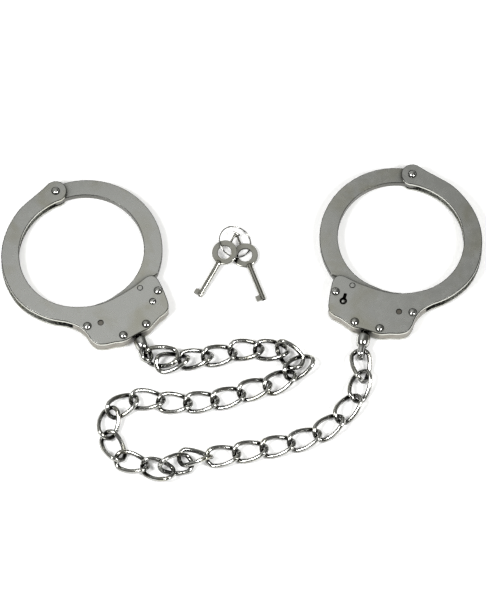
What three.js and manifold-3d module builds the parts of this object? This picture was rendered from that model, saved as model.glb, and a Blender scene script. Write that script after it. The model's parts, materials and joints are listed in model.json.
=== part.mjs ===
// A pair of long-chain leg-iron handcuffs with two keys on a wire ring, in millimetres, +Z up.
// Each cuff is drawn once in its own frame: the hinge pivot is the origin, the lock body lies
// towards -Y, Z = 0 is the middle plane of the sandwich, and +Z is the keyhole side.
import * as THREE from "three";
import { mergeVertices } from "three/addons/utils/BufferGeometryUtils.js";
import Module from "manifold-3d";

const wasm = await Module();
wasm.setup();

const DEG = Math.PI / 180;

// ---- Plate stack -------------------------------------------------------------------------
const CHEEK_T = 2.4; // each side plate
const GAP = 5.8; // clear space between the side plates
const FACE = GAP / 2 + CHEEK_T; // outer face of a side plate, from the middle plane
const CHEEK_CHAMFER = 0.45;
const FRAME_T = 5.5; // lock frame between the plates
const ARM_T = 5.2; // thickness of the swinging arm
const LEDGE_T = 3.4; // thinner toothed ledge of the arm's tail

// ---- Rivets ------------------------------------------------------------------------------
const RIVET_SHANK = 1.6;
const RIVET_HOLE = 1.8;
const HEAD_R = 2.5;
const HEAD_RISE = 1.3; // height of the dome over the plate
const SEAT_R = 2.75; // shallow seat that the head sits in
const SEAT_DEEP = 0.4;
const HEAD_SINK = 0.2; // how far the dome's rim lies below the face
const HINGE_SHANK = 2.1;
const HUB_HOLE = 2.35;

// ---- Cuff plan, from the hinge pivot -------------------------------------------------------
const LOBE_R = 7.2; // round end of the plates about the hinge
const OPENING = { x: -3.5, y: -47, r: 36.7 }; // inner edge of the plates
const ARM_OUT = { x: -11.3, y: -43.8, r: 49.4 }; // outer edge of the arm
const ARM_IN = { x: -10.7, y: -43.1, r: 38.1 }; // inner edge of the arm
const TAIL_IN = 83.6; // the tail is struck from the hinge: inner edge,
const TAIL_STEP = 86.8; // step down to the ledge,
const TAIL_OUT = 90.5; // and tooth tips
const TAIL_TIP = -77; // bearing of the tail's tip, in degrees
const TOOTH_PITCH = 1.6; // degrees about the hinge
const TOOTH_DEPTH = 1.7;
const TOOTH_FIRST = -118; // bearings between which the teeth are cut
const TEETH = 24;
const FRAME_IN = 91.6; // inner edge of the lock frame, just clear of the tooth tips

const BODY_RIVETS = {
  a: [-50.4, -83.2],
  b: [-38, -104.5],
  c: [-21.9, -109.1],
  d: [-0.4, -97.9],
};
const KEY_POST = [-45.4, -89.9];
const PAWL_PIVOT = [-9.3, -97.4];
const GUIDE_STUD = [-39.4, -78.9];

// ---- Lock parts ----------------------------------------------------------------------------
const PAWL_LIFT = -3.2; // degrees about its pivot: held clear of the teeth
const PAWL_T = 5.2;
const PAWL_TEETH = 3; // at the pawl's far end, where its lift is greatest
const PAWL_FIT = 0.25; // play between the pawl's teeth and the arm's
const TRUNNION_R = 1.6;
const POST_R = 1.2;
const KEYHOLE_R = 2.4;
const SWIVEL_HEAD_AT = [-30.8, -103.1]; // centre of the swivel's captive head
const SWIVEL_AIM = -98.3; // direction that its stem points
const SWIVEL_HEAD_R = 2.65;
const SWIVEL_NECK_R = 1.9;
const THROAT = 4.6; // slot that the neck passes through
const SWIVEL_LENGTH = 26.4; // head centre to the far end of the eye
const EYE_LENGTH = 11.4;
const EYE_WIDTH = 9.4;
const EYE_RIM = 2.6;
const EYE_T = 4.2;

// ---- Chain ---------------------------------------------------------------------------------
const LINK_A = 10.7; // half length of a link's centreline
const LINK_B = 6.2; // half width of a link's centreline
const WIRE = 1.5; // wire radius
const TWIST = -42; // degrees that each end is turned out of the link's own plane
const LINK_STEPS = 14;
const LINK_SIDES = 6;

// ---- Keys ----------------------------------------------------------------------------------
const BOW_R = 8.3;
const BOW_HOLE = 4.5;
const BOW_T = 1.8;
const BARREL_R = 1.75;
const BARREL_BORE = 1.2;
const KEY_LENGTH = 33.5; // bow centre to barrel end
const PEG_R = 0.75;
const PEG_LENGTH = 15.7; // bow centre to the end of the double-lock peg
const RING_R = 10.8;
const RING_WIRE = 0.45;

// ---- Small geometry kit --------------------------------------------------------------------
function solid(geometry) {
  const bare = geometry.index ? geometry.toNonIndexed() : geometry.clone();
  bare.deleteAttribute("normal");
  bare.deleteAttribute("uv");
  const merged = mergeVertices(bare, 1e-4);
  return new wasm.Manifold(
    new wasm.Mesh({
      numProp: 3,
      vertProperties: merged.attributes.position.array,
      triVerts: new Uint32Array(merged.index.array),
    }),
  );
}

function geometryOf(manifold) {
  const mesh = manifold.getMesh();
  const geometry = new THREE.BufferGeometry();
  geometry.setAttribute("position", new THREE.BufferAttribute(mesh.vertProperties, 3));
  geometry.setIndex(new THREE.BufferAttribute(mesh.triVerts, 1));
  const flat = geometry.toNonIndexed();
  flat.computeVertexNormals();
  return flat;
}

function shapeOf(points) {
  return new THREE.Shape(points.map(([x, y]) => new THREE.Vector2(x, y)));
}

// A plate of a closed outline from z0 to z1, its edges chamfered if asked.
function plate(points, z0, z1, chamfer = 0) {
  const geometry = new THREE.ExtrudeGeometry(shapeOf(points), {
    depth: z1 - z0 - 2 * chamfer,
    bevelEnabled: chamfer > 0,
    bevelThickness: chamfer,
    bevelSize: chamfer,
    bevelOffset: -chamfer,
    bevelSegments: 1,
    curveSegments: 12,
  });
  geometry.translate(0, 0, z0 + chamfer);
  return solid(geometry);
}

function disc([x, y], r, z0, z1, sides = 12) {
  const geometry = new THREE.CylinderGeometry(r, r, z1 - z0, sides);
  geometry.rotateX(Math.PI / 2);
  geometry.translate(x, y, (z0 + z1) / 2);
  return solid(geometry);
}

// A body turned about Z from [radius, height] pairs that start and end on the axis.
function turned(profile, sides = 10) {
  const geometry = new THREE.LatheGeometry(
    profile.map(([r, z]) => new THREE.Vector2(r, z)),
    sides,
  );
  geometry.rotateX(Math.PI / 2);
  return solid(geometry);
}

function arc(c, from, to, steps) {
  return Array.from({ length: steps + 1 }, (_, i) => {
    const t = (from + ((to - from) * i) / steps) * DEG;
    return [c.x + c.r * Math.cos(t), c.y + c.r * Math.sin(t)];
  });
}

function about(r, from, to, steps) {
  return arc({ x: 0, y: 0, r }, from, to, steps);
}

function polar(r, bearing) {
  return [r * Math.cos(bearing * DEG), r * Math.sin(bearing * DEG)];
}

// A smooth run through a few drawn points.
function smooth(points, steps) {
  const curve = new THREE.CatmullRomCurve3(
    points.map(([x, y]) => new THREE.Vector3(x, y, 0)),
    false,
    "centripetal",
  );
  return curve.getPoints(steps).map((p) => [p.x, p.y]);
}

function box(x0, x1, y0, y1, z0, z1) {
  const geometry = new THREE.BoxGeometry(x1 - x0, y1 - y0, z1 - z0);
  geometry.translate((x0 + x1) / 2, (y0 + y1) / 2, (z0 + z1) / 2);
  return solid(geometry);
}

// ---- Materials -----------------------------------------------------------------------------
const SATIN = { color: 0xa3a59d, roughness: 0.38, metalness: 1 };
const POLISHED = { color: 0xb9bab6, roughness: 0.12, metalness: 1 };
const STEEL = { color: 0x8d8d88, roughness: 0.4, metalness: 1 };
const LINK_FINISH = { color: 0xb4b4b0, roughness: 0.14, metalness: 1 };
const KEY_FINISH = { color: 0xa9a8a2, roughness: 0.28, metalness: 1 };

function piece(name, shape, finish) {
  const geometry = shape.isBufferGeometry ? shape : geometryOf(shape);
  const mesh = new THREE.Mesh(geometry, new THREE.MeshStandardMaterial(finish));
  mesh.name = name;
  return mesh;
}

// ---- Side plates ---------------------------------------------------------------------------
function cheekOutline() {
  const lobe = arc({ x: 0, y: 0, r: LOBE_R }, 258, 62, 12);
  const back = smooth(
    [
      [9.6, 2.2], [15.8, -1.4], [25.9, -7.8], [34.4, -17], [40.9, -27.8], [44.6, -40],
      [44.9, -53], [41.6, -66.4], [36.2, -75.8], [29.1, -82.8], [21.4, -88], [12.4, -91.8],
    ],
    16,
  );
  const foot = smooth(
    [
      [12.4, -91.8], [6.2, -95.6], [1.6, -101.2], [-1, -107.5], [-4, -111.4], [-8.4, -112.8],
      [-15.5, -112.8], [-21.5, -113.1], [-28.3, -111], [-33.5, -109.4], [-39, -108.1],
      [-43.4, -104.8], [-47.6, -101.7], [-51.6, -99.6], [-54.4, -97],
    ],
    26,
  );
  const opening = arc(OPENING, -80, 8, 12);
  const side = smooth(
    [
      [-54.4, -97], [-55.1, -93.6], [-54.6, -87.6], [-53.4, -80.4], [-51.9, -75],
      [-50.2, -72.6], [-47.8, -71.6], [-44.6, -72.3], [-40.6, -74.4], [-35.9, -76.8],
      [-28.4, -79.9], [-20.5, -82.6], [-13.5, -84.1], [-7.5, -84.4], [-2.2, -84.1], opening[0],
    ],
    22,
  );
  const rise = smooth(
    [
      opening.at(-1), [31.7, -35.2], [29.4, -29.3], [26.1, -23.9], [21.9, -18.9],
      [16.7, -14.5], [11.2, -11.2], [5.6, -8.8], [1.4, -7.5], lobe[0],
    ],
    14,
  );
  return [
    ...lobe, ...back, ...foot.slice(1), ...side.slice(1), ...opening.slice(1),
    ...rise.slice(1, -1),
  ];
}

function cheek(outline, front) {
  const z0 = front ? GAP / 2 : -FACE;
  const z1 = front ? FACE : -GAP / 2;
  const out = front ? 1 : -1;
  // The plate's outer edge is chamfered and its inner edge is square.
  let body = plate(outline, z0 - (front ? 1 : 0), z1 + (front ? 0 : 1), CHEEK_CHAMFER);
  body = body.trimByPlane([0, 0, out], out * (front ? z0 : z1));
  const hole = (at, r) => body.subtract(disc(at, r, z0 - 1, z1 + 1, 10));
  const seat = (at, r) => {
    const deep = out * (FACE - SEAT_DEEP);
    const clear = out * (FACE + 1);
    return body.subtract(disc(at, r, Math.min(deep, clear), Math.max(deep, clear), 12));
  };
  for (const at of Object.values(BODY_RIVETS)) {
    body = hole(at, RIVET_HOLE);
    body = seat(at, SEAT_R);
  }
  body = hole([0, 0], HINGE_SHANK + 0.2);
  body = seat([0, 0], SEAT_R);
  body = hole(PAWL_PIVOT, TRUNNION_R + 0.2);
  if (front) {
    body = hole(KEY_POST, KEYHOLE_R);
    const slot = plate(
      [[-1, 1.5], [1, 1.5], [1, 5.1], [0.6, 5.6], [-0.6, 5.6], [-1, 5.1]],
      z0 - 1, z1 + 1,
    );
    body = body.subtract(slot.rotate([0, 0, -16]).translate([...KEY_POST, 0]));
  } else {
    body = hole(KEY_POST, POST_R + 0.5);
    body = seat(KEY_POST, 2.25);
  }
  const stud = disc(GUIDE_STUD, 1.7, out > 0 ? z1 - 0.5 : z0 - 0.3, out > 0 ? z1 + 0.3 : z0 + 0.5);
  return body.add(stud);
}

// ---- Rivets and post -----------------------------------------------------------------------
// Heights and radii of a dome that rises from its rim at z.
function dome(z, r, out) {
  const rise = HEAD_RISE + HEAD_SINK;
  const steps = [0, 0.5, 0.85];
  return steps.map((t) => [r * Math.sqrt(1 - t * t), z + out * rise * t]);
}

function rivet([x, y], shank) {
  const rim = FACE - HEAD_SINK;
  const top = FACE + HEAD_RISE;
  return turned([
    [0, -top], ...dome(-rim, HEAD_R, -1).reverse(), [shank, -rim],
    [shank, rim], ...dome(rim, HEAD_R, 1), [0, top],
  ]).translate([x, y, 0]);
}

function keyPost() {
  const rim = FACE - HEAD_SINK;
  const top = FACE + 0.8;
  return turned([
    [0, -top], [1, -top + 0.15], [1.7, -top + 0.55], [2, -rim], [POST_R + 0.25, -rim],
    [POST_R + 0.25, -GAP / 2 - 0.1], [POST_R, -GAP / 2 + 0.2], [POST_R, FACE - 0.9],
    [POST_R - 0.3, FACE - 0.6], [0, FACE - 0.6],
  ]).translate([...KEY_POST, 0]);
}

// ---- Swinging arm --------------------------------------------------------------------------
function toothedEdge(from, count, play) {
  const points = [];
  for (let i = 0; i < count; i += 1) {
    const start = from + i * TOOTH_PITCH;
    points.push(polar(TAIL_OUT - TOOTH_DEPTH + play, start));
    points.push(polar(TAIL_OUT + play, start + 0.12));
  }
  return points;
}

function arm() {
  const tip = TAIL_TIP;
  const band = plate(
    [
      ...arc(ARM_OUT, 80, 212, 24),
      ...about(TAIL_STEP, -125, tip, 14),
      polar(85.2, tip + 0.5),
      ...about(TAIL_IN, tip, -100, 10),
      [-19.6, -80.9],
      ...arc(ARM_IN, 243, 80, 24),
    ],
    -ARM_T / 2, ARM_T / 2, 0.35,
  );
  const lastTooth = TOOTH_FIRST + TEETH * TOOTH_PITCH;
  const ledge = plate(
    [
      ...arc(ARM_OUT, 209, 221, 4),
      polar(TAIL_OUT, -121.4),
      polar(TAIL_OUT, TOOTH_FIRST - 0.5),
      ...toothedEdge(TOOTH_FIRST, TEETH, 0),
      polar(TAIL_OUT - TOOTH_DEPTH, lastTooth),
      polar(TAIL_STEP + 0.4, tip + 0.2),
      ...about(TAIL_STEP - 0.7, tip - 0.3, -124, 12),
    ],
    -LEDGE_T / 2, LEDGE_T / 2,
  );
  const hub = disc([0, 0], LOBE_R - 0.4, -ARM_T / 2, ARM_T / 2, 24);
  return band.add(ledge).add(hub).subtract(disc([0, 0], HUB_HOLE, -5, 5, 16));
}

// ---- Pawl ----------------------------------------------------------------------------------
// The pawl in plan, engaged with the teeth; grow widens it all round for its pocket.
function pawlPlan(grow) {
  const inner = 91.3 - grow;
  const outer = 95.4 + grow;
  const g = grow / 1.75;
  const teeth = grow ? [] : toothedEdge(TOOTH_FIRST, PAWL_TEETH, PAWL_FIT);
  return [
    polar(inner, -118.9 - g),
    polar(inner, TOOTH_FIRST - 0.3),
    ...teeth,
    ...about(inner, TOOTH_FIRST + PAWL_TEETH * TOOTH_PITCH, -95.4, 8),
    polar(inner + 0.6, -94.2 + g),
    polar(outer + 1.6, -94.2 + g),
    polar(outer + 1.6, -98 + g),
    polar(outer, -100 + g),
    polar(outer, -110.6 + g),
    polar(103.2 + grow, -111.1 + g),
    polar(104.6 + grow, -111.7 + g),
    polar(107.4 + grow, -113.6 + g),
    polar(107.4 + grow, -117.4 - g),
    polar(105.8 - grow, -117.6 - g),
    polar(105.6 - grow, -114.8),
    polar(103.6 - grow, -113.8),
    polar(98 + grow, -113.8),
    polar(95.2 + grow, -114.4),
    polar(94.6 + grow, -118.9 - g),
  ];
}

function pawl() {
  const lever = plate(pawlPlan(0), -PAWL_T / 2, PAWL_T / 2);
  const boss = disc(PAWL_PIVOT, 3, -PAWL_T / 2, PAWL_T / 2, 14);
  const pins = disc(PAWL_PIVOT, TRUNNION_R, -FACE + 0.35, FACE - 0.35, 12);
  return lever.add(boss).add(pins).translate([-PAWL_PIVOT[0], -PAWL_PIVOT[1], 0]);
}

function pawlPocket() {
  const half = FRAME_T / 2 + 1;
  let pocket = disc(PAWL_PIVOT, 3.4, -half, half, 24);
  for (const share of [0, 0.34, 0.67, 1, 1.1]) {
    const swept = plate(pawlPlan(0.45), -half, half)
      .translate([-PAWL_PIVOT[0], -PAWL_PIVOT[1], 0])
      .rotate([0, 0, PAWL_LIFT * share * -1])
      .translate([...PAWL_PIVOT, 0]);
    pocket = pocket.add(swept);
  }
  const keyRoom = disc(KEY_POST, 4.9, -half, half, 28).add(
    plate([...about(97, -113.2, -116.6, 2), ...about(107, -117.6, -113.2, 2)], -half, half),
  );
  const springRoom = plate(
    [...about(94, -99.6, -110.6, 8), ...about(104, -111, -98.6, 8)],
    -half, half,
  );
  return pocket.add(keyRoom).add(springRoom);
}

// ---- Lock frame ----------------------------------------------------------------------------
function lockFrame(outline) {
  const half = FRAME_T / 2;
  const sector = plate(
    [...about(FRAME_IN, -128, -84.9, 24), polar(130, -84.9), polar(130, -128)],
    -half, half,
  );
  const room = box(-4.6, 4.6, -4.3, 2.3, -half - 1, half + 1).add(
    box(-THROAT / 2, THROAT / 2, -20, 0, -half - 1, half + 1),
  );
  let body = plate(outline, -half, half).intersect(sector).subtract(pawlPocket());
  body = body.subtract(
    room.rotate([0, 0, SWIVEL_AIM + 90]).translate([...SWIVEL_HEAD_AT, 0]),
  );
  for (const at of Object.values(BODY_RIVETS)) body = body.subtract(disc(at, RIVET_HOLE, -5, 5));
  return body;
}

// ---- Spring and double-lock bar --------------------------------------------------------------
function pawlSpring() {
  const thick = 0.5;
  const from = -100.2;
  const to = -110;
  const bow = (u) => 100.4 - 3 * Math.sin(u * Math.PI);
  const side = (extra) =>
    Array.from({ length: 11 }, (_, i) => polar(bow(i / 10) + extra, from + ((to - from) * i) / 10));
  return plate([...side(0), ...side(thick).reverse()], -2, 2);
}

function lockBar() {
  const body = plate(
    [...about(101.4, -99.4, -109, 8), ...about(103.6, -109, -99.4, 8)],
    -2.1, 2.1,
  );
  const nose = plate([...about(102, -108.8, -109.6, 1), ...about(103.2, -109.6, -108.8, 1)], -1.2, 1.2);
  return body.add(nose);
}

// ---- Swivel --------------------------------------------------------------------------------
// Drawn along -Y from the centre of its head; the eye's hole looks along Z.
function swivel() {
  const eyeAt = -SWIVEL_LENGTH + EYE_LENGTH / 2;
  const post = turned([
    [0, -1.6], [SWIVEL_HEAD_R, -1.6], [SWIVEL_HEAD_R, 1.6], [SWIVEL_NECK_R, 1.9],
    [SWIVEL_NECK_R, 8], [2.9, 8.1], [4, 8.7], [4.45, 10], [4.45, 13.6], [3.7, 16], [2.8, 17.2],
    [0, 17.4],
  ]).rotate([90, 0, 0]);
  const rim = new THREE.Curve();
  const a = (EYE_WIDTH - EYE_RIM) / 2;
  const b = (EYE_LENGTH - EYE_RIM) / 2;
  rim.getPoint = (t) => {
    const u = t * 2 * Math.PI;
    const flat = Math.max(-1, Math.min(1, 1.18 * Math.cos(u)));
    return new THREE.Vector3(a * flat, eyeAt + b * Math.sin(u), 0);
  };
  return post.add(loop(rim, 18, 6, EYE_RIM / 2, EYE_T / 2));
}

// A closed bar of elliptical section about a flat-ish closed curve.
function loop(curve, steps, sides, across, deep, upAt = () => new THREE.Vector3(0, 0, 1)) {
  const positions = [];
  const index = [];
  for (let i = 0; i < steps; i += 1) {
    const t = i / steps;
    const here = curve.getPoint(t);
    const ahead = curve.getPoint((t + 1e-3) % 1);
    const behind = curve.getPoint((t + 1 - 1e-3) % 1);
    const along = ahead.sub(behind).normalize();
    const up = upAt(t);
    const outward = new THREE.Vector3().crossVectors(along, up).normalize();
    const lift = new THREE.Vector3().crossVectors(outward, along).normalize();
    for (let j = 0; j < sides; j += 1) {
      const s = ((j + 0.5) / sides) * 2 * Math.PI;
      const p = here
        .clone()
        .addScaledVector(outward, across * Math.cos(s))
        .addScaledVector(lift, deep * Math.sin(s));
      positions.push(p.x, p.y, p.z);
      const k = ((i + 1) % steps) * sides;
      const a = i * sides + j;
      const b = i * sides + ((j + 1) % sides);
      const c = k + j;
      const d = k + ((j + 1) % sides);
      index.push(a, b, c, b, d, c);
    }
  }
  const geometry = new THREE.BufferGeometry();
  geometry.setAttribute("position", new THREE.Float32BufferAttribute(positions, 3));
  geometry.setIndex(index);
  const made = solid(geometry);
  if (made.volume() > 0) return made;
  geometry.setIndex(index.map((_, n) => index[n - (n % 3) + [0, 2, 1][n % 3]]));
  return solid(geometry);
}

// ---- Chain link ----------------------------------------------------------------------------
// An oval of round wire along X, twisted about X so that its two ends stand square to each other.
function link() {
  const oval = new THREE.Curve();
  const turn = (x) => (TWIST * DEG * x) / LINK_A;
  const straight = LINK_A - LINK_B;
  oval.getPoint = (t) => {
    const u = t * 2 * Math.PI;
    const c = Math.cos(u);
    const x = LINK_B * c + straight * Math.sign(c) * Math.min(1, Math.abs(c) * 2.2);
    const y = LINK_B * Math.sin(u);
    return new THREE.Vector3(x, y * Math.cos(turn(x)), y * Math.sin(turn(x)));
  };
  const upAt = (t) => {
    const x = oval.getPoint(t).x;
    return new THREE.Vector3(0, -Math.sin(turn(x)), Math.cos(turn(x)));
  };
  return geometryOf(loop(oval, LINK_STEPS, LINK_SIDES, WIRE, WIRE, upAt));
}

// ---- Key -----------------------------------------------------------------------------------
// Drawn flat: bow centre at the origin, barrel along -Y, double-lock peg along +Y.
function key() {
  const bow = disc([0, 0], BOW_R, -BOW_T / 2, BOW_T / 2, 24).subtract(
    disc([0, 0], BOW_HOLE, -3, 3, 18),
  );
  const barrel = turned([
    [0, 6.6], [1.5, 6.6], [2, 7.6], [2, 9], [BARREL_R, 9.6], [BARREL_R, KEY_LENGTH],
    [BARREL_BORE, KEY_LENGTH], [BARREL_BORE, KEY_LENGTH - 9], [0, KEY_LENGTH - 9.6],
  ]).rotate([90, 0, 0]);
  const peg = turned([[0, 6.6], [PEG_R, 6.6], [PEG_R, PEG_LENGTH], [0, PEG_LENGTH]], 8).rotate(
    [-90, 0, 0],
  );
  const tee = turned([[0, -1.9], [PEG_R, -1.9], [PEG_R, 1.9], [0, 1.9]], 8)
    .rotate([0, 90, 0])
    .translate([0, PEG_LENGTH - PEG_R, 0]);
  const bit = box(-4.4, -BARREL_R + 0.4, -KEY_LENGTH + 0.4, -KEY_LENGTH + 3.9, -0.9, 0.9);
  return bow.add(barrel).add(peg).add(tee).add(bit);
}

// ---- One cuff ------------------------------------------------------------------------------
function cuff(side, swivelRoll) {
  const group = new THREE.Group();
  const outline = cheekOutline();
  const add = (name, shape, finish) => {
    const mesh = piece(`${side}_${name}`, shape, finish);
    group.add(mesh);
    return mesh;
  };
  add("cheek_front", cheek(outline, true), SATIN);
  add("cheek_back", cheek(outline, false), SATIN);
  add("lock_frame", lockFrame(outline), STEEL);
  add("arm", arm(), SATIN);
  add("hinge_rivet", rivet([0, 0], HINGE_SHANK), POLISHED);
  for (const [mark, at] of Object.entries(BODY_RIVETS))
    add(`body_rivet_${mark}`, rivet(at, RIVET_SHANK), POLISHED);
  add("key_post", keyPost(), STEEL);
  const lever = add("pawl", pawl(), STEEL);
  lever.position.set(...PAWL_PIVOT, 0);
  lever.rotation.z = -PAWL_LIFT * DEG;
  add("pawl_spring", pawlSpring(), STEEL);
  add("lock_bar", lockBar(), STEEL);
  const ring = add("swivel", swivel(), POLISHED);
  ring.position.set(...SWIVEL_HEAD_AT, 0);
  ring.rotation.order = "ZYX";
  ring.rotation.z = (SWIVEL_AIM + 90) * DEG;
  ring.rotation.y = swivelRoll * DEG;
  return group;
}

// ---- Assembly ------------------------------------------------------------------------------
const MID = FACE + HEAD_RISE; // height of each cuff's middle plane over the table
const RIGHT_HINGE = [110.5, 84.2];
const LEFT_HINGE = [-122.1, 72.2];
const LEFT_TURN = 12.3;

const root = new THREE.Group();
root.name = "handcuffs";

const right = cuff("right", 84);
right.position.set(...RIGHT_HINGE, MID);
root.add(right);

const left = cuff("left", 25);
left.rotation.order = "ZYX";
left.rotation.z = LEFT_TURN * DEG;
left.rotation.y = Math.PI;
left.position.set(...LEFT_HINGE, MID);
root.add(left);

// Where each link lies: centre x and y, heading, roll about its own length, height, nose-down.
const LAY = [
  [-52.7, -42.6, -4, 21, 6.8, -9],
  [-45.9, -45.6, 17, -12, 5.7, 5],
  [-30.6, -42.9, 8, -10, 4.3, -5],
  [-15.3, -40.6, 10, 0, 4.3, 0],
  [2, -36.9, 3, 0, 4.7, 0],
  [18.5, -37.1, -2, 0, 4.2, 0],
  [29.7, -41.1, -47, 32, 6.5, 3],
  [36.1, -49.3, 218, -3, 5.8, -3],
  [23.9, -59.2, 209, 2, 5, 2],
  [7.5, -64.3, 199, 1, 4.5, 0],
  [-9.5, -70.2, 196, 0, 4.3, 0],
  [-26.8, -73.4, 187, 0, 4.3, 0],
  [-44.3, -74.2, 178, 0, 4.4, 0],
  [-61.9, -71.9, 178, 0, 4.7, 0],
  [-78.2, -75.7, 212, -3, 4.6, -2],
  [-86.9, -88.3, 260, 0, 5.1, -1],
  [-83.9, -104.9, 297, 0, 4.8, -2],
  [-71.7, -115.8, -17, 0, 4.3, -1],
  [-54.8, -121.4, -20, 10, 5.9, -4],
  [-43.3, -117.4, 10, 38, 5.5, 12],
  [-30.8, -112.3, -3, -30, 5.1, -9],
  [-12.9, -111.2, 10, 0, 4.8, 0],
  [4.8, -107.8, 11, -1, 4.7, 0],
  [22.5, -104.2, 13, 0, 4.6, -1],
  [39.8, -99.1, 23, -1, 4.4, -1],
  [55.4, -90.8, 38, 1, 4.5, -2],
  [67.8, -77.8, 52, 1, 4.4, -1],
  [75.7, -62.2, 73, 0, 4.4, -1],
  [76.4, -48.8, 94, 24, 6, -2],
];
LAY.forEach(([x, y, heading, roll, z, dip], i) => {
  const mesh = piece(`link_${String(i + 1).padStart(2, "0")}`, link(), LINK_FINISH);
  mesh.rotation.order = "ZYX";
  mesh.rotation.z = heading * DEG;
  mesh.rotation.y = dip * DEG;
  mesh.rotation.x = roll * DEG;
  mesh.position.set(x, y, z);
  root.add(mesh);
});

// The keys lie across each other with the ring threaded through both bows: it passes over the
// far side of the upper bow, between the two bows, and under the far side of the lower one.
const RING_AT = [-5.2, 39.3, 4.35];
const RING_TILT = 20;
const circle = new THREE.Curve();
circle.getPoint = (t) =>
  new THREE.Vector3(RING_R * Math.cos(t * 2 * Math.PI), RING_R * Math.sin(t * 2 * Math.PI), 0);

function lay(mesh, [x, y, z], heading, dip, roll) {
  mesh.rotation.order = "ZYX";
  mesh.rotation.set(dip * DEG, roll * DEG, heading * DEG);
  mesh.position.set(x, y, z);
  root.add(mesh);
}
lay(piece("key_ring", loop(circle, 32, 6, RING_WIRE, RING_WIRE), POLISHED), RING_AT, 0, 0, RING_TILT);
lay(piece("key_a", key(), KEY_FINISH), [-11.9, 30.8, 6.4], -30.4, 8, -5);
lay(piece("key_b", key(), KEY_FINISH), [1.5, 30.6, 2.3], 20.9, 0.4, -4);

// The whole lay is shifted so that the middle of its bounding box stands over the origin.
const CENTRE = [-0.77, -19.027];
root.position.set(-CENTRE[0], -CENTRE[1], 0);

export default root;
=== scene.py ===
# Looks for the pair of long-chain handcuffs: finer plates, rivets, arms, links, swivels and keys
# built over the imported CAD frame, in metres, with procedural nickel finishes.
import json
import math

import bmesh
import bpy
import numpy as np
from mathutils import Matrix, Vector
from mathutils.geometry import delaunay_2d_cdt


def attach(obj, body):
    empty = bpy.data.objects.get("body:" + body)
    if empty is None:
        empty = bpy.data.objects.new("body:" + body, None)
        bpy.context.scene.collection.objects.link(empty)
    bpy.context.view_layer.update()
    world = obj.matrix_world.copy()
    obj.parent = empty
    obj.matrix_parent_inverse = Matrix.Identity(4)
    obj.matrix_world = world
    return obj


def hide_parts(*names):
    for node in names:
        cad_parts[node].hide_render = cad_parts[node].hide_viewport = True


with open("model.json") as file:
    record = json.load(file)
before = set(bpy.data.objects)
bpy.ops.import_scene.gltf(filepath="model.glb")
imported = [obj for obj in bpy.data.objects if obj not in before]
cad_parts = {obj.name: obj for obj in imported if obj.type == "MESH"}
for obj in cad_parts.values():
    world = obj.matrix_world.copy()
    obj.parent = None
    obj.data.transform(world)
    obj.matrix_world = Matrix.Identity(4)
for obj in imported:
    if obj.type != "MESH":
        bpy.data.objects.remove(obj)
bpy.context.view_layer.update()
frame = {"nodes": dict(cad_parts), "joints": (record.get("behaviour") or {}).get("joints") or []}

MM = 0.001
joints = {j["name"]: j for j in frame["joints"]}

# ---- Sizes in millimetres and bearings in degrees, the same as the CAD's --------------------------
CHEEK_T = 2.4
GAP = 5.8
FACE = GAP / 2 + CHEEK_T
ARM_T = 5.2
LEDGE_T = 3.4
RIVET_SHANK, RIVET_HOLE = 1.6, 1.8
HEAD_R, HEAD_RISE, HEAD_SINK = 2.5, 1.3, 0.2
SEAT_R, SEAT_DEEP = 2.75, 0.4
HINGE_SHANK, HUB_HOLE = 2.1, 2.35
LOBE_R = 7.2
OPENING = (-3.5, -47.0, 36.7)
ARM_OUT = (-11.3, -43.8, 49.4)
ARM_IN = (-10.7, -43.1, 38.1)
TAIL_IN, TAIL_STEP, TAIL_OUT, TAIL_TIP = 83.6, 86.8, 90.5, -77.0
TOOTH_PITCH, TOOTH_DEPTH, TOOTH_FIRST, TEETH = 1.6, 1.7, -118.0, 24
BODY_RIVETS = {"a": (-50.4, -83.2), "b": (-38.0, -104.5), "c": (-21.9, -109.1), "d": (-0.4, -97.9)}
KEY_POST = (-45.4, -89.9)
PAWL_PIVOT = (-9.3, -97.4)
GUIDE_STUD = (-39.4, -78.9)
TRUNNION_R, POST_R, KEYHOLE_R = 1.6, 1.2, 2.4
SWIVEL_HEAD_AT, SWIVEL_AIM = (-30.8, -103.1), -98.3
SWIVEL_HEAD_R, SWIVEL_NECK_R = 2.65, 1.9
SWIVEL_LENGTH, EYE_LENGTH, EYE_WIDTH, EYE_RIM, EYE_T = 26.4, 11.4, 9.4, 2.6, 4.2
LINK_A, LINK_B, WIRE, TWIST = 10.7, 6.2, 1.5, -42.0
CAD_LINK_STEPS, CAD_LINK_SIDES = 14, 6
BOW_R, BOW_HOLE, BOW_T = 8.3, 4.5, 1.8
BARREL_R, BARREL_BORE, KEY_LENGTH = 1.75, 1.2, 33.5
PEG_R, PEG_LENGTH = 0.75, 15.7
RING_R, RING_WIRE = 10.8, 0.45
LEFT_TURN = 12.3
SWIVEL_ROLL = {"right": 84.0, "left": 25.0}

# ---- Sizes of the looks only, in millimetres ---------------------------------------------------
CHEEK_ROUND, CHEEK_LOW_ROUND = 0.62, 0.28
HOLE_LIP = 0.14
STUD_R, STUD_SEAT_R, STUD_DEEP, STUD_RISE = 1.7, 1.9, 0.5, 0.25
POST_SEAT_R, POST_HEAD_R, POST_RISE = 2.25, 2.0, 0.8
ARM_ROUND = 0.42
BOW_ROUND, BOW_LIP = 0.45, 0.3
LEAST_GAP = 0.02


# ---- Plan curves -----------------------------------------------------------------------------
def arc(c, start, stop, steps):
    t = np.radians(np.linspace(start, stop, steps + 1))
    return [(c[0] + c[2] * math.cos(a), c[1] + c[2] * math.sin(a)) for a in t]


def about(r, start, stop, steps):
    return arc((0.0, 0.0, r), start, stop, steps)


def polar(r, bearing):
    return r * math.cos(math.radians(bearing)), r * math.sin(math.radians(bearing))


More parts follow.
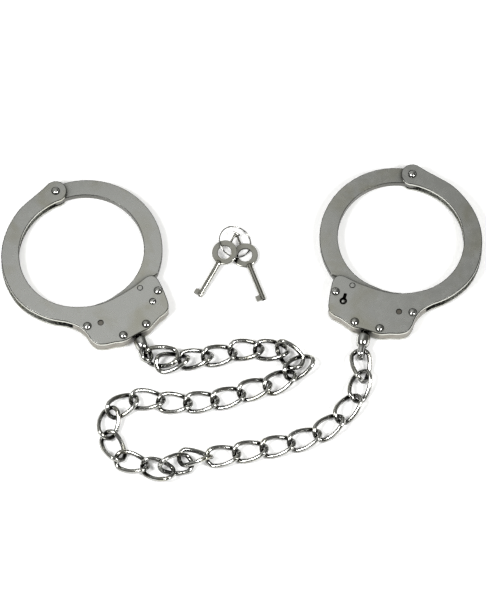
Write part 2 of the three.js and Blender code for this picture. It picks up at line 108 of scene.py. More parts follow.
def smooth(points, steps):
    """A centripetal Catmull-Rom run through the points."""
    pts = [np.array(p, float) for p in points]
    pts = [2 * pts[0] - pts[1], *pts, 2 * pts[-1] - pts[-2]]
    spans = len(pts) - 3
    out = []
    for k in range(steps + 1):
        at = spans * k / steps
        i = min(int(at), spans - 1)
        w = at - i
        p0, p1, p2, p3 = pts[i:i + 4]
        d0, d1, d2 = (math.sqrt(np.linalg.norm(b - a)) for a, b in ((p0, p1), (p1, p2), (p2, p3)))
        t1 = ((p1 - p0) / d0 - (p2 - p0) / (d0 + d1) + (p2 - p1) / d1) * d1
        t2 = ((p2 - p1) / d1 - (p3 - p1) / (d1 + d2) + (p3 - p2) / d2) * d1
        c2 = -3 * p1 + 3 * p2 - 2 * t1 - t2
        c3 = 2 * p1 - 2 * p2 + t1 + t2
        out.append(tuple(p1 + t1 * w + c2 * w * w + c3 * w ** 3))
    return out


def cheek_outline():
    lobe = arc((0, 0, LOBE_R), 258, 62, 44)
    back = smooth([
        (9.6, 2.2), (15.8, -1.4), (25.9, -7.8), (34.4, -17), (40.9, -27.8), (44.6, -40),
        (44.9, -53), (41.6, -66.4), (36.2, -75.8), (29.1, -82.8), (21.4, -88), (12.4, -91.8),
    ], 66)
    foot = smooth([
        (12.4, -91.8), (6.2, -95.6), (1.6, -101.2), (-1, -107.5), (-4, -111.4), (-8.4, -112.8),
        (-15.5, -112.8), (-21.5, -113.1), (-28.3, -111), (-33.5, -109.4), (-39, -108.1),
        (-43.4, -104.8), (-47.6, -101.7), (-51.6, -99.6), (-54.4, -97),
    ], 84)
    opening = arc(OPENING, -80, 8, 50)
    side = smooth([
        (-54.4, -97), (-55.1, -93.6), (-54.6, -87.6), (-53.4, -80.4), (-51.9, -75),
        (-50.2, -72.6), (-47.8, -71.6), (-44.6, -72.3), (-40.6, -74.4), (-35.9, -76.8),
        (-28.4, -79.9), (-20.5, -82.6), (-13.5, -84.1), (-7.5, -84.4), (-2.2, -84.1), opening[0],
    ], 90)
    rise = smooth([
        opening[-1], (31.7, -35.2), (29.4, -29.3), (26.1, -23.9), (21.9, -18.9),
        (16.7, -14.5), (11.2, -11.2), (5.6, -8.8), (1.4, -7.5), lobe[0],
    ], 60)
    return lobe + back + foot[1:] + side[1:] + opening[1:] + rise[1:-1]


def circle(at, r, sides=40):
    return [(at[0] + r * math.cos(a), at[1] + r * math.sin(a))
            for a in np.linspace(0, 2 * math.pi, sides, endpoint=False)]


def keyhole(grow=0.0):
    """Round hole with its slot towards the opening, as one outline about the key post."""
    r, half, top = KEYHOLE_R + grow, 1.0 + grow, 5.5 + grow
    edge = math.degrees(math.asin(half / r))
    pts = arc((0, 0, r), 90 + edge, 450 - edge, 36)
    pts += [(half, top - 0.6), (half - 0.35, top), (-half + 0.35, top), (-half, top - 0.6)]
    turn = math.radians(-16)
    c, s = math.cos(turn), math.sin(turn)
    return [(KEY_POST[0] + c * x - s * y, KEY_POST[1] + s * x + c * y) for x, y in pts]


# ---- Mesh kit --------------------------------------------------------------------------------
def signed_area(p):
    q = np.roll(p, -1, 0)
    return 0.5 * float(np.sum(p[:, 0] * q[:, 1] - q[:, 0] * p[:, 1]))


def shrunk(p, by):
    """The outline moved inwards by the given distance."""
    along = np.roll(p, -1, 0) - p
    along /= np.linalg.norm(along, axis=1)[:, None]
    left = np.stack([-along[:, 1], along[:, 0]], 1)
    mean = left + np.roll(left, 1, 0)
    size = np.linalg.norm(mean, axis=1)[:, None]
    mean = mean / np.maximum(size, 1e-9)
    stretch = 1 / np.clip(np.sum(mean * left, 1), 0.6, 1)
    return p + mean * (by * stretch)[:, None]


def inside(points, poly):
    x, y = points[:, 0], points[:, 1]
    hit = np.zeros(len(points), bool)
    for (x0, y0), (x1, y1) in zip(poly, np.roll(poly, -1, 0)):
        if y0 == y1:
            continue
        cross = ((y0 > y) != (y1 > y)) & (x < (x1 - x0) * (y - y0) / (y1 - y0) + x0)
        hit ^= cross
    return hit


def thinned(points):
    """The closed outline without points that nearly coincide, anticlockwise."""
    out = [np.array(points[0], float)]
    for p in points[1:]:
        if np.linalg.norm(np.array(p) - out[-1]) > LEAST_GAP:
            out.append(np.array(p, float))
    while np.linalg.norm(out[0] - out[-1]) <= LEAST_GAP:
        out.pop()
    out = np.array(out)
    return out if signed_area(out) > 0 else out[::-1].copy()


class Shell:
    """Gathers rings and caps into one mesh."""

    def __init__(self):
        self.verts, self.faces = [], []

    def ring(self, plan, z):
        first = len(self.verts)
        self.verts += [(x, y, z) for x, y in plan]
        return list(range(first, first + len(plan)))

    def band(self, low, high, flip=False):
        n = len(low)
        for i in range(n):
            a, b = low[i], low[(i + 1) % n]
            c, d = high[(i + 1) % n], high[i]
            self.faces.append((a, d, c, b) if flip else (a, b, c, d))

    def cap(self, rings, up):
        """A flat cap over the first ring, open over the others."""
        where = [i for r in rings for i in r]
        flat = [Vector(self.verts[i][:2]) for i in where]
        edges, start = [], 0
        for r in rings:
            edges += [(start + k, start + (k + 1) % len(r)) for k in range(len(r))]
            start += len(r)
        out = delaunay_2d_cdt(flat, edges, [], 0, 1e-7)
        pts = np.array([v[:] for v in out[0]])
        tris = [f for f in out[2] if len(f) == 3]
        mids = np.array([pts[list(f)].mean(0) for f in tris])
        polys = [np.array([self.verts[i][:2] for i in r]) for r in rings]
        keep = inside(mids, polys[0])
        for hole in polys[1:]:
            keep &= ~inside(mids, hole)
        origin = [where[o[0]] for o in out[3]]
        for f, ok in zip(tris, keep):
            if ok:
                a, b, c = (origin[i] for i in f)
                ax, ay = self.verts[a][:2]
                bx, by = self.verts[b][:2]
                cx, cy = self.verts[c][:2]
                ccw = (bx - ax) * (cy - ay) - (by - ay) * (cx - ax) > 0
                self.faces.append((a, b, c) if ccw == up else (a, c, b))

    def slab(self, outline, z0, z1, round_top=0.0, round_low=0.0, holes=(), steps=3):
        """A plate of the outline, its edges rounded in so many steps.

        A hole is a list of (outline, z) from the top face down.
        """
        base = thinned(outline)
        rings = []
        for k in range(steps + 1 if round_low else 1):
            t = math.pi / 2 * k / steps
            rings.append((shrunk(base, round_low * (1 - math.sin(t))) if round_low else base,
                          z0 + round_low * (1 - math.cos(t))))
        for k in range(steps + 1 if round_top else 1):
            t = math.pi / 2 * k / steps
            rings.append((shrunk(base, round_top * (1 - math.cos(t))) if round_top else base,
                          z1 - round_top * (1 - math.sin(t))))
        made = [self.ring(p, z) for p, z in rings]
        for low, high in zip(made, made[1:]):
            self.band(low, high)
        tops, lows = [made[-1]], [made[0]]
        for hole in holes:
            down = [self.ring(thinned(p), z) for p, z in hole]
            for high, low in zip(down, down[1:]):
                self.band(low, high, flip=True)
            tops.append(down[0])
            if abs(hole[-1][1] - z0) < 1e-6:
                lows.append(down[-1])
            else:
                self.cap([down[-1]], True)
        self.cap(tops, True)
        self.cap(lows, False)
        return self

    def lathe(self, profile, sides=48, move=None):
        """A solid turned about Z from (radius, height) pairs, first and last on the axis."""
        put = move or Matrix.Identity(4)
        made = []
        for r, z in profile:
            first = len(self.verts)
            if r < 1e-9:
                self.verts.append(tuple(put @ Vector((0, 0, z))))
                made.append([first])
                continue
            for a in np.linspace(0, 2 * math.pi, sides, endpoint=False):
                self.verts.append(tuple(put @ Vector((r * math.cos(a), r * math.sin(a), z))))
            made.append(list(range(first, first + sides)))
        for low, high in zip(made, made[1:]):
            for i in range(sides):
                j = (i + 1) % sides
                quad = [low[i % len(low)], low[j % len(low)], high[j % len(high)], high[i % len(high)]]
                face = list(dict.fromkeys(quad))
                if len(face) > 2:
                    self.faces.append(tuple(face))
        return self

    def tube(self, point, steps, sides, across, deep, up=None):
        """A closed bar of elliptical section along point(t)."""
        first = len(self.verts)
        for i in range(steps):
            t = i / steps
            here = Vector(point(t))
            along = (Vector(point((t + 1e-3) % 1)) - Vector(point((t - 1e-3) % 1))).normalized()
            level = Vector(up(t)) if up else Vector((0, 0, 1))
            out = along.cross(level).normalized()
            lift = out.cross(along).normalized()
            for j in range(sides):
                a = (j + 0.5) / sides * 2 * math.pi
                p = here + out * across * math.cos(a) + lift * deep * math.sin(a)
                self.verts.append(tuple(p))
        for i in range(steps):
            for j in range(sides):
                a = first + i * sides + j
                b = first + i * sides + (j + 1) % sides
                k = first + ((i + 1) % steps) * sides
                self.faces.append((a, b, k + (j + 1) % sides, k + j))
        return self

    def build(self, name, place, angle=32.0):
        """The gathered mesh as an object, in metres, moved by place."""
        mesh = bpy.data.meshes.new(name)
        mesh.from_pydata([tuple(place @ Vector(v) * MM) for v in self.verts], [], self.faces)
        bm = bmesh.new()
        bm.from_mesh(mesh)
        bmesh.ops.recalc_face_normals(bm, faces=bm.faces)
        bm.to_mesh(mesh)
        bm.free()
        mesh.shade_smooth()
        mesh.set_sharp_from_angle(angle=math.radians(angle))
        made = bpy.data.objects.new(name, mesh)
        bpy.context.scene.collection.objects.link(made)
        weigh = made.modifiers.new("weigh", "WEIGHTED_NORMAL")
        weigh.keep_sharp = True
        weigh.weight = 90
        return made


# ---- Placing ---------------------------------------------------------------------------------
def cuff_place(side):
    hinge = Vector(joints[side + "_arm_swing"]["pos_m"])
    turn = Matrix.Identity(4)
    if side == "left":
        turn = Matrix.Rotation(math.radians(LEFT_TURN), 4, "Z") @ Matrix.Rotation(math.pi, 4, "Y")
    return Matrix.Translation(hinge) @ turn


def at(x, y):
    return Matrix.Translation(Vector((x, y, 0)))


PLACE = {side: cuff_place(side) for side in ("right", "left")}


def scaled(place):
    """A placement in metres, as it acts on points that build() has yet to shrink to metres."""
    out = place.copy()
    out.translation = place.translation / MM
    return out


def finish_piece(shell, name, place, body, nodes, material, angle=32.0):
    made = shell.build(name, scaled(place), angle)
    made.data.materials.append(material)
    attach(made, body)
    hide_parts(*nodes)
    return made


# ---- Finishes --------------------------------------------------------------------------------
def nodes_of(material):
    tree = material.node_tree
    tree.nodes.clear()
    out = tree.nodes.new("ShaderNodeOutputMaterial")
    shader = tree.nodes.new("ShaderNodeBsdfPrincipled")
    tree.links.new(shader.outputs[0], out.inputs[0])
    return tree, shader


def noise(tree, where, scale, detail, rough=0.5, warp=0.0):
    n = tree.nodes.new("ShaderNodeTexNoise")
    n.inputs["Scale"].default_value = scale
    n.inputs["Detail"].default_value = detail
    n.inputs["Roughness"].default_value = rough
    n.inputs["Distortion"].default_value = warp
    tree.links.new(where, n.inputs["Vector"])
    return n.outputs["Fac"]


def spread(tree, value, low, high, a, b):
    """value from low..high mapped to a..b, clamped."""
    m = tree.nodes.new("ShaderNodeMapRange")
    for k, v in zip(("From Min", "From Max", "To Min", "To Max"), (low, high, a, b)):
        m.inputs[k].default_value = v
    tree.links.new(value, m.inputs["Value"])
    return m.outputs[0]


def tinted(tree, value, stops):
    ramp = tree.nodes.new("ShaderNodeValToRGB")
    band = ramp.color_ramp
    while len(band.elements) < len(stops):
        band.elements.new(0.5)
    for e, (pos, colour) in zip(band.elements, stops):
        e.position = pos
        e.color = (*colour, 1)
    tree.links.new(value, ramp.inputs[0])
    return ramp.outputs[0]


def mixed(tree, fac, a, b, mode="MIX"):
    m = tree.nodes.new("ShaderNodeMix")
    m.data_type = "RGBA"
    m.blend_type = mode
    for socket, v in ((m.inputs[0], fac), (m.inputs[6], a), (m.inputs[7], b)):
        if isinstance(v, bpy.types.NodeSocket):
            tree.links.new(v, socket)
        else:
            socket.default_value = v if not isinstance(v, tuple) else (*v, 1)
    return m.outputs[2]


def painted_edge_shade(tree, edge, side):
    """Painted shade by a flat piece's slope: white where level, edge while it turns, side where upright.
    """
    geometry = tree.nodes.new("ShaderNodeNewGeometry")
    own = tree.nodes.new("ShaderNodeVectorTransform")
    own.vector_type, own.convert_from, own.convert_to = "NORMAL", "WORLD", "OBJECT"
    tree.links.new(geometry.outputs["True Normal"], own.inputs[0])
    split = tree.nodes.new("ShaderNodeSeparateXYZ")
    tree.links.new(own.outputs[0], split.inputs[0])
    slope = tree.nodes.new("ShaderNodeMath")
    slope.operation = "ABSOLUTE"
    tree.links.new(split.outputs[2], slope.inputs[0])
    return tinted(tree, slope.outputs[0], [
        (0.0, side), (0.12, side), (0.3, (edge, edge, edge * 0.97)),
        (0.972, (edge, edge, edge * 0.97)), (0.994, (1, 1, 1)),
    ])


FRECKLE_SIZE = 900
CREVICE_SAMPLES = 6
GRAIN_DEPTH = 0.00004  # metres


def nickel(name, clean, warm, rough, grain, grain_size, patch_size=42.0, stain=0.6, dull=0.14,
           edge=1.0, side=None, shut=0.3, reach=5.0):
    """Nickel plate: broad warm patches, dull freckles, fine grain, and painted shade on edges and in
    crevices.

    edge and side are painted shade on a flat piece's rounded edges and upright sides, where edge is under
    1.
    shut is the painted shade deep in a crevice, and reach is how far off its walls count, in millimetres.
    """
    material = bpy.data.materials.new(name)
    material.use_nodes = True
    tree, shader = nodes_of(material)
    where = tree.nodes.new("ShaderNodeTexCoord").outputs["Object"]
    patches = noise(tree, where, patch_size, 3, 0.55, 0.6)
    cloud = noise(tree, where, patch_size * 4.3, 5, 0.6, 0.3)
    freckle = noise(tree, where, FRECKLE_SIZE, 2, 0.5)
    fine = noise(tree, where, grain_size, 3, 0.6)
    colour = tinted(tree, patches, [(0.36, clean), (0.5, clean), (0.7, warm)])
    shade = spread(tree, cloud, 0.3, 0.7, 1 - 0.07 * stain, 1 + 0.03 * stain)
    grey = tree.nodes.new("ShaderNodeCombineColor")
    for k in range(3):
        tree.links.new(shade, grey.inputs[k])
    colour = mixed(tree, 1.0, colour, grey.outputs[0], "MULTIPLY")
    spots = spread(tree, freckle, 0.7, 0.8, 0, 0.12 * stain)
    colour = mixed(tree, spots, colour, tuple(c * 0.62 for c in warm))
    # Painted shade: ambient occlusion darkens the colour in crevices, near the floor and between parts.
    near = tree.nodes.new("ShaderNodeAmbientOcclusion")
    near.samples = CREVICE_SAMPLES
    near.inputs["Distance"].default_value = reach * MM
    painted_crevice_shade = tinted(tree, near.outputs["AO"], [
        (0.3, (shut * 0.3,) * 3), (0.6, (shut, shut, shut * 0.93)), (0.9, (1.0, 1.0, 1.0)),
    ])
    colour = mixed(tree, 1.0, colour, painted_crevice_shade, "MULTIPLY")
    # Painted shade: rounded edges get a dark line and upright sides a set tone, chosen by slope.
    if edge < 1:
        colour = mixed(tree, 1.0, colour, painted_edge_shade(tree, edge, side), "MULTIPLY")
    tree.links.new(colour, shader.inputs["Base Color"])
    tree.links.new(spread(tree, cloud, 0.25, 0.75, rough * 0.82, rough + dull), shader.inputs["Roughness"])
    shader.inputs["Metallic"].default_value = 1.0
    bump = tree.nodes.new("ShaderNodeBump")
    bump.inputs["Strength"].default_value = grain
    bump.inputs["Distance"].default_value = GRAIN_DEPTH
    tree.links.new(fine, bump.inputs["Height"])
    tree.links.new(bump.outputs[0], shader.inputs["Normal"])
    return material


# The edge, side, shut and reach values below set each finish's painted shade.
SATIN = nickel(
    "satin_nickel_plate", (0.665, 0.672, 0.645), (0.59, 0.585, 0.51), rough=0.25, grain=0.1,
    grain_size=2600, stain=0.5, dull=0.07, edge=0.07, side=(0.9, 0.895, 0.85), shut=0.24)
ARM_METAL = nickel(
    "satin_nickel_arm", (0.66, 0.667, 0.64), (0.59, 0.585, 0.51), rough=0.25, grain=0.1,
    grain_size=2400, patch_size=60, stain=0.5, dull=0.07, edge=0.14, side=(0.13, 0.127, 0.115))
RIVET_METAL = nickel(
    "bright_nickel_rivet", (0.74, 0.745, 0.72), (0.70, 0.70, 0.65), rough=0.07, grain=0.05,
    grain_size=1800, stain=0.3, dull=0.06, shut=0.55, reach=2.0)
SWIVEL_METAL = nickel(
    "bright_nickel_swivel", (0.72, 0.725, 0.70), (0.66, 0.66, 0.60), rough=0.12, grain=0.1,
    grain_size=1800, patch_size=120, stain=0.5, dull=0.1, shut=0.2, reach=26.0)
LINK_METAL = nickel(
    "bright_nickel_link", (0.64, 0.64, 0.61), (0.50, 0.49, 0.41), rough=0.12, grain=0.08,
    grain_size=1500, patch_size=110, stain=0.8, dull=0.1, shut=0.13, reach=22.0)
KEY_METAL = nickel(
    "tumbled_nickel_key", (0.47, 0.465, 0.42), (0.41, 0.40, 0.34), rough=0.1, grain=0.12,
    grain_size=1500, patch_size=130, dull=0.08, shut=0.2, reach=8.0)
RING_METAL = nickel(
    "bright_wire", (0.52, 0.52, 0.49), (0.45, 0.45, 0.41), rough=0.1, grain=0.05,
    grain_size=1500, patch_size=200, shut=0.2, reach=8.0)
LOCK_METAL = nickel(
    "machined_lock_steel", (0.26, 0.246, 0.217), (0.215, 0.197, 0.165), rough=0.36, grain=0.5,
    grain_size=900, patch_size=140, stain=1.0)

# The pieces inside the bodies keep their CAD solids.
for side in ("left", "right"):
    for part in ("lock_frame", "pawl", "pawl_spring", "lock_bar"):
        node = frame["nodes"][f"{side}_{part}"]
        node.data.materials.clear()
        node.data.materials.append(LOCK_METAL)


# ---- Side plates -----------------------------------------------------------------------------
def round_hole(where, r, z_top, z_low):
    """From the outer face down, with a small bevelled lip."""
    return [(circle(where, r + HOLE_LIP, 36), z_top), (circle(where, r, 36), z_top - HOLE_LIP),
            (circle(where, r, 36), z_low)]


def seated_hole(where, r, z_top, z_low):
    """A hole with a wider seat for a rivet's head."""
    seat = z_top - SEAT_DEEP
    return [(circle(where, SEAT_R + 0.1), z_top), (circle(where, SEAT_R), z_top - 0.1),
            (circle(where, SEAT_R), seat), (circle(where, r), seat), (circle(where, r), z_low)]


def cheek(side, face):
    outline = cheek_outline()
    front = face == "front"
    z1, z0 = FACE, GAP / 2
    holes = [seated_hole(p, RIVET_HOLE, z1, z0) for p in BODY_RIVETS.values()]
    holes.append(seated_hole((0, 0), HINGE_SHANK + 0.2, z1, z0))
    holes.append(round_hole(PAWL_PIVOT, TRUNNION_R + 0.3, z1, z0))
    stud_seat, stud_core = circle(GUIDE_STUD, STUD_SEAT_R), circle(GUIDE_STUD, 1.2)
    holes.append([(circle(GUIDE_STUD, STUD_SEAT_R + 0.08), z1), (stud_seat, z1 - 0.08),
                  (stud_seat, z1 - STUD_DEEP), (stud_core, z1 - STUD_DEEP), (stud_core, z0)])
    if front:
        holes.append([(keyhole(0.12), z1), (keyhole(), z1 - 0.12), (keyhole(), z0)])
    else:
        seat = z1 - SEAT_DEEP
        holes.append([(circle(KEY_POST, POST_SEAT_R + 0.1), z1), (circle(KEY_POST, POST_SEAT_R), z1 - 0.1),
                      (circle(KEY_POST, POST_SEAT_R), seat), (circle(KEY_POST, POST_R + 0.5), seat),
                      (circle(KEY_POST, POST_R + 0.5), z0)])
    shell = Shell().slab(outline, z0, z1, CHEEK_ROUND, CHEEK_LOW_ROUND, holes, 5)
    shell.slab(circle(GUIDE_STUD, STUD_R, 32), z1 - STUD_DEEP, z1 + STUD_RISE, 0.3)
    if not front:
        shell.verts = [(x, y, -z) for x, y, z in shell.verts]
    return finish_piece(shell, f"{side}_side_plate_{face}", PLACE[side], side + "_cuff",
                        [f"{side}_cheek_{face}"], SATIN)


def dome(r, rise):
    """(radius, height over its rim) of a domed head, rim first."""
    return [(r * math.sqrt(max(0.0, 1 - t * t)), rise * t) for t in np.sin(np.linspace(0, 1.35, 7))]


def rivet(side, mark, where, shank):
    rim = FACE - HEAD_SINK
    head = dome(HEAD_R, HEAD_RISE + HEAD_SINK)
    top = FACE + HEAD_RISE
    low = [(r, -(rim + h)) for r, h in reversed(head)]
    high = [(r, rim + h) for r, h in head]
    profile = [(0, -top), *low, (shank, -rim), (shank, rim), *high, (0, top)]
    shell = Shell().lathe(profile, 40)
    return finish_piece(shell, f"{side}_{mark}_domed", PLACE[side] @ at(where[0] * MM, where[1] * MM),
                        side + "_cuff", [f"{side}_{mark}"], RIVET_METAL, 40)


def key_post(side):
    rim, top = FACE - HEAD_SINK, FACE + POST_RISE
    head = [(POST_HEAD_R * math.sqrt(max(0.0, 1 - t * t)), -rim - (top - rim) * t)
            for t in np.sin(np.linspace(0, 1.4, 6))]
    profile = [(0, -top), *reversed(head), (POST_R + 0.25, -rim), (POST_R + 0.25, -GAP / 2 - 0.1),
               (POST_R, -GAP / 2 + 0.2), (POST_R, FACE - 0.9), (POST_R - 0.1, FACE - 0.7),
               (POST_R - 0.35, FACE - 0.6), (0, FACE - 0.6)]
    shell = Shell().lathe(profile, 36)
    place = PLACE[side] @ at(KEY_POST[0] * MM, KEY_POST[1] * MM)
    return finish_piece(shell, f"{side}_key_post_turned", place, side + "_cuff",
                        [f"{side}_key_post"], RIVET_METAL, 40)


# ---- Swinging arm ----------------------------------------------------------------------------
def arm(side):
    hub = LOBE_R - 0.4
    band = thinned(
        arc(ARM_OUT, 80, 212, 110) + about(TAIL_STEP, -125, TAIL_TIP, 50) + [polar(85.2, TAIL_TIP + 0.5)]
        + about(TAIL_IN, TAIL_TIP, -100, 26) + [(-19.6, -80.9)] + arc(ARM_IN, 243, 80, 120))
    far = np.linalg.norm(band, axis=1) > hub
    start = next(i for i in range(len(band)) if far[i] and not far[i - 1])
    run = [band[(start + k) % len(band)] for k in range(int(far.sum()))]
    first = math.degrees(math.atan2(run[0][1], run[0][0]))
    last = math.degrees(math.atan2(run[-1][1], run[-1][0]))
    while first < last:
        first += 360
    outline = [tuple(p) for p in run] + about(hub, last, first, 40)
    half = ARM_T / 2
    hole = [(circle((0, 0), HUB_HOLE, 32), half), (circle((0, 0), HUB_HOLE, 32), -half)]
    shell = Shell().slab(outline, -half, half, ARM_ROUND, ARM_ROUND, [hole])
    teeth = []
    for i in range(TEETH):
        start_at = TOOTH_FIRST + i * TOOTH_PITCH
        teeth += [polar(TAIL_OUT - TOOTH_DEPTH, start_at), polar(TAIL_OUT, start_at + 0.12)]
    ledge = (
        arc(ARM_OUT, 209, 221, 12) + [polar(TAIL_OUT, -121.4), polar(TAIL_OUT, TOOTH_FIRST - 0.5)]
        + teeth + [polar(TAIL_OUT - TOOTH_DEPTH, TOOTH_FIRST + TEETH * TOOTH_PITCH),
                   polar(TAIL_STEP + 0.4, TAIL_TIP + 0.2)]
        + about(TAIL_STEP - 0.7, TAIL_TIP - 0.3, -124, 40))
    shell.slab(ledge, -LEDGE_T / 2, LEDGE_T / 2)
    return finish_piece(shell, f"{side}_swinging_arm", PLACE[side], side + "_arm", [side + "_arm"],
                        ARM_METAL)


# ---- Swivel ----------------------------------------------------------------------------------
def swivel(side):
    aim = Matrix.Rotation(math.radians(SWIVEL_AIM + 90), 4, "Z")
    roll = Matrix.Rotation(math.radians(SWIVEL_ROLL[side]), 4, "Y")
    place = PLACE[side] @ at(SWIVEL_HEAD_AT[0] * MM, SWIVEL_HEAD_AT[1] * MM) @ aim @ roll
    stem = Matrix.Rotation(math.radians(90), 4, "X")
    profile = [(0, -1.6), (SWIVEL_HEAD_R - 0.15, -1.6), (SWIVEL_HEAD_R, -1.45), (SWIVEL_HEAD_R, 1.6),
               (SWIVEL_NECK_R, 1.9), (SWIVEL_NECK_R, 8.0)]
    profile += smooth([(2.9, 8.05), (4.0, 8.7), (4.45, 10), (4.45, 13.6), (3.7, 16), (2.8, 17.2)], 24)
    profile += [(1.4, 17.5), (0, 17.6)]
    shell = Shell().lathe(profile, 40, stem)
    eye_at = -SWIVEL_LENGTH + EYE_LENGTH / 2
    a, b = (EYE_WIDTH - EYE_RIM) / 2, (EYE_LENGTH - EYE_RIM) / 2

    def rim(t):
        u = t * 2 * math.pi
        flat = max(-1.0, min(1.0, 1.12 * math.cos(u)))
        return a * flat, eye_at + b * math.sin(u), 0

    shell.tube(rim, 56, 16, EYE_RIM / 2, EYE_T / 2)
    return finish_piece(shell, f"{side}_swivel_eye", place, side + "_swivel", [side + "_swivel"],
                        SWIVEL_METAL, 50)


# ---- Chain link ------------------------------------------------------------------------------
def link_centre(t):
    u = t * 2 * math.pi
    c = math.cos(u)
    x = LINK_B * c + (LINK_A - LINK_B) * math.copysign(1, c) * min(1, abs(c) * 2.2)
    y = LINK_B * math.sin(u)
    turn = math.radians(TWIST) * x / LINK_A
    return x, y * math.cos(turn), y * math.sin(turn)


def link_up(t):
    turn = math.radians(TWIST) * link_centre(t)[0] / LINK_A
    return 0, -math.sin(turn), math.cos(turn)


def link_place(node):
    """Where the CAD link lies, from matching its corners to the link's own drawing."""
    drawn = Shell().tube(link_centre, CAD_LINK_STEPS, CAD_LINK_SIDES, WIRE, WIRE, link_up).verts
    drawn = np.array(drawn) * MM
    seen = np.array([v.co for v in frame["nodes"][node].data.vertices], float)
    seen = np.unique(np.round(seen, 7), axis=0)
    middle = seen.mean(0)
    axes = np.linalg.svd(seen - middle, full_matrices=False)[2]
    best = None
    for flips in ((1, 1), (1, -1), (-1, 1), (-1, -1)):
        x, y = axes[0] * flips[0], axes[1] * flips[1]
        turn = np.stack([x, y, np.cross(x, y)], 1)
        shift = middle
        for _ in range(12):
            moved = drawn @ turn.T + shift
            gaps = np.linalg.norm(seen[:, None] - moved[None], axis=2)
            pair = gaps.argmin(1)
            a, b = drawn[pair], seen
            h = (a - a.mean(0)).T @ (b - b.mean(0))
            u, _, vt = np.linalg.svd(h)
            fix = np.diag([1, 1, np.sign(np.linalg.det(vt.T @ u.T))])
            turn = vt.T @ fix @ u.T
            shift = b.mean(0) - turn @ a.mean(0)
        miss = float(gaps.min(1).max())
        if best is None or miss < best[0]:
            best = (miss, turn, shift)
    miss, turn, shift = best
    if miss > 0.0002:
        print("link fit", node, round(miss / MM, 3), "mm off")
    return Matrix([[*turn[0], shift[0]], [*turn[1], shift[1]], [*turn[2], shift[2]], [0, 0, 0, 1]])


def link(node):
    shell = Shell().tube(link_centre, 64, 16, WIRE, WIRE, link_up)
    return finish_piece(shell, node + "_wire", link_place(node), node, [node], LINK_METAL,
                        60)


# ---- Keys and ring ---------------------------------------------------------------------------
def ring_place():
    joint = joints["key_a_slide_round"]
    tilt = math.atan2(joint["axis"][0], joint["axis"][2])
    return Matrix.Translation(Vector(joint["pos_m"])) @ Matrix.Rotation(tilt, 4, "Y")


def key_ring():
    def wire(t):
        return RING_R * math.cos(t * 2 * math.pi), RING_R * math.sin(t * 2 * math.pi), 0

    shell = Shell().tube(wire, 72, 10, RING_WIRE, RING_WIRE)
    return finish_piece(shell, "key_ring_wire", ring_place(), "key_ring", ["key_ring"], RING_METAL,
                        60)


# Where each key lies: shift of its bow from the ring's centre, then heading, dip and roll.
KEY_LAY = {
    "key_a": ((-6.7, -8.5, 2.05), -30.4, 8.0, -5.0),
    "key_b": ((6.7, -8.7, -2.05), 20.9, 0.4, -4.0),
}


def key(name):
    shift, heading, dip, roll = KEY_LAY[name]
    ring = Vector(joints["key_a_slide_round"]["pos_m"])
    place = (Matrix.Translation(ring + Vector(shift) * MM)
             @ Matrix.Rotation(math.radians(heading), 4, "Z")
             @ Matrix.Rotation(math.radians(roll), 4, "Y")
             @ Matrix.Rotation(math.radians(dip), 4, "X"))
    half = BOW_T / 2
    wide, narrow = circle((0, 0), BOW_HOLE + BOW_LIP), circle((0, 0), BOW_HOLE)
    hole = [(wide, half), (narrow, half - BOW_LIP), (narrow, -half + BOW_LIP), (wide, -half)]
    shell = Shell().slab(circle((0, 0), BOW_R, 64), -half, half, BOW_ROUND, BOW_ROUND, [hole])
    down = Matrix.Rotation(math.radians(90), 4, "X")
    shell.lathe([(0, 6.6), (1.5, 6.6), (2.0, 7.4), (2.0, 9.0), (BARREL_R, 9.5),
                 (BARREL_R, KEY_LENGTH - 0.2), (BARREL_R - 0.2, KEY_LENGTH), (BARREL_BORE, KEY_LENGTH),
                 (BARREL_BORE, KEY_LENGTH - 9), (0, KEY_LENGTH - 9.6)], 32, down)
    rise = Matrix.Rotation(math.radians(-90), 4, "X")
    shell.lathe([(0, 6.6), (PEG_R, 6.6), (PEG_R, PEG_LENGTH - 0.1), (PEG_R - 0.1, PEG_LENGTH),
                 (0, PEG_LENGTH)], 20, rise)
    across = at(0, PEG_LENGTH - PEG_R) @ Matrix.Rotation(math.radians(90), 4, "Y")
    shell.lathe([(0, -1.9), (PEG_R - 0.15, -1.9), (PEG_R, -1.75), (PEG_R, 1.75),
                 (PEG_R - 0.15, 1.9), (0, 1.9)], 20, across)
    low, high = -KEY_LENGTH + 0.4, -KEY_LENGTH + 3.9
    shell.slab([(-4.4, low), (-BARREL_R + 0.4, low), (-BARREL_R + 0.4, high), (-4.4, high)],
               -0.9, 0.9, 0.2, 0.2, [], 2)
    return finish_piece(shell, name + "_barrel_key", place, name, [name], KEY_METAL)


# ---- Everything ------------------------------------------------------------------------------
for side in ("left", "right"):
    cheek(side, "front")
    cheek(side, "back")
    rivet(side, "hinge_rivet", (0, 0), HINGE_SHANK)
    for mark, spot in BODY_RIVETS.items():
        rivet(side, "body_rivet_" + mark, spot, RIVET_SHANK)
    key_post(side)
    arm(side)
    swivel(side)
for node in sorted(frame["nodes"]):
    if node.startswith("link_"):
        link(node)
key_ring()
key("key_a")
key("key_b")


# ---- Floor, light and camera -------------------------------------------------------------------
FLOOR_R = 3000
FLOOR_GLOW = 0.25  # keeps the shadows on the floor pale


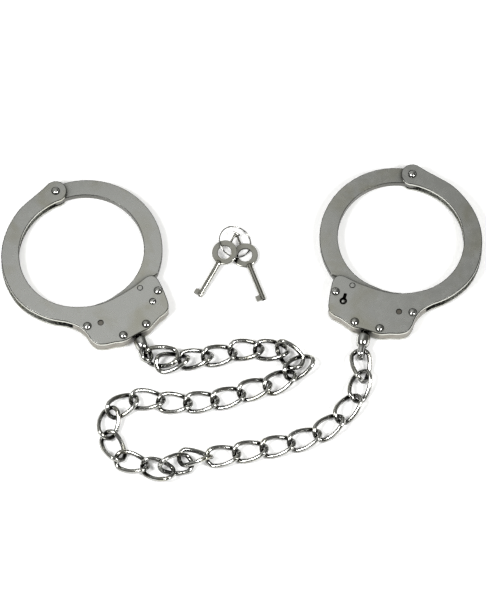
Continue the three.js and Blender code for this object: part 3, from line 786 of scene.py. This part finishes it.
def floor():
    shell = Shell().slab(circle((0, 0), FLOOR_R, 96), -6, -0.02)
    made = shell.build("pale_floor", Matrix.Identity(4))
    paint = bpy.data.materials.new("pale_floor_paint")
    paint.use_nodes = True
    tree, shader = nodes_of(paint)
    where = tree.nodes.new("ShaderNodeTexCoord").outputs["Object"]
    tone = noise(tree, where, 3, 2)
    tree.links.new(tinted(tree, tone, [(0.0, (0.90, 0.90, 0.895)), (1.0, (0.93, 0.93, 0.925))]),
                   shader.inputs["Base Color"])
    shader.inputs["Roughness"].default_value = 0.9
    shader.inputs["Specular IOR Level"].default_value = 0.1
    shader.inputs["Emission Color"].default_value = (1, 1, 0.99, 1)
    shader.inputs["Emission Strength"].default_value = FLOOR_GLOW
    made.data.materials.append(paint)


floor()


def panel(name, azimuth, elevation, distance, width, height, radiance):
    """A soft box seen from the origin at azimuth (from +Y, clockwise from above) and elevation."""
    a, e = math.radians(azimuth), math.radians(elevation)
    spot = Vector((math.sin(a) * math.cos(e), math.cos(a) * math.cos(e), math.sin(e))) * distance
    data = bpy.data.lights.new(name, "AREA")
    data.shape = "RECTANGLE"
    data.size, data.size_y = width, height
    data.energy = radiance * math.pi * width * height
    made = bpy.data.objects.new(name, data)
    made.location = spot
    made.rotation_euler = (-spot).to_track_quat("-Z", "Y").to_euler()
    made.visible_camera = False
    bpy.context.scene.collection.objects.link(made)


# Two soft boxes give the paired glints on every dome; the dim one overhead, off to the left, is
# what the flat plates mirror, so the tone falls off towards the right-hand cuff.
panel("left_glint_box", azimuth=240, elevation=56, distance=1.2, width=0.4, height=0.34, radiance=27.0)
panel("right_glint_box", azimuth=122, elevation=50, distance=1.2, width=0.3, height=0.34, radiance=30.0)
panel("overhead_box", azimuth=326, elevation=70, distance=0.53, width=0.4, height=0.26, radiance=0.27)

# The sky is dim, and brightens towards a spot high behind the object, a little to the left.
SKY_BRIGHT_SIDE = (-0.35, 0.6, 0.72)
SKY_TONES = [
    (0.0, (0.085, 0.085, 0.082)), (0.5, (0.085, 0.085, 0.082)), (0.75, (0.17, 0.17, 0.165)),
    (0.92, (0.33, 0.332, 0.32)),
]

world = bpy.data.worlds.new("studio")
bpy.context.scene.world = world
world.use_nodes = True
sky = world.node_tree
sky.nodes.clear()
out = sky.nodes.new("ShaderNodeOutputWorld")
glow = sky.nodes.new("ShaderNodeBackground")
sky.links.new(glow.outputs[0], out.inputs[0])
ray = sky.nodes.new("ShaderNodeTexCoord").outputs["Generated"]
facing = sky.nodes.new("ShaderNodeVectorMath")
facing.operation = "DOT_PRODUCT"
facing.inputs[1].default_value = SKY_BRIGHT_SIDE
sky.links.new(ray, facing.inputs[0])
sky.links.new(tinted(sky, facing.outputs["Value"], SKY_TONES), glow.inputs[0])
glow.inputs[1].default_value = 1.0

# A long lens from far off, with the picture FRAME_HEIGHT metres tall where it is aimed.
CAMERA_ELEVATION = 67.0
CAMERA_LENS = 600.0
SENSOR = 36.0
FRAME_HEIGHT = 0.3952
AIM = Vector((0.0008, 0.0162, 0.0))
lens = bpy.data.cameras.new("camera")
lens.sensor_fit = "VERTICAL"
lens.sensor_height = SENSOR
lens.sensor_width = SENSOR
lens.lens = CAMERA_LENS
lens.clip_end = 20
camera = bpy.data.objects.new("camera", lens)
tilt = math.radians(CAMERA_ELEVATION)
back = Vector((0, -math.cos(tilt), math.sin(tilt))) * (FRAME_HEIGHT * CAMERA_LENS / SENSOR)
camera.location = AIM + back
camera.rotation_euler = (-back).to_track_quat("-Z", "Y").to_euler()
bpy.context.scene.collection.objects.link(camera)
bpy.context.scene.camera = camera
bpy.context.scene.view_settings.view_transform = "Standard"
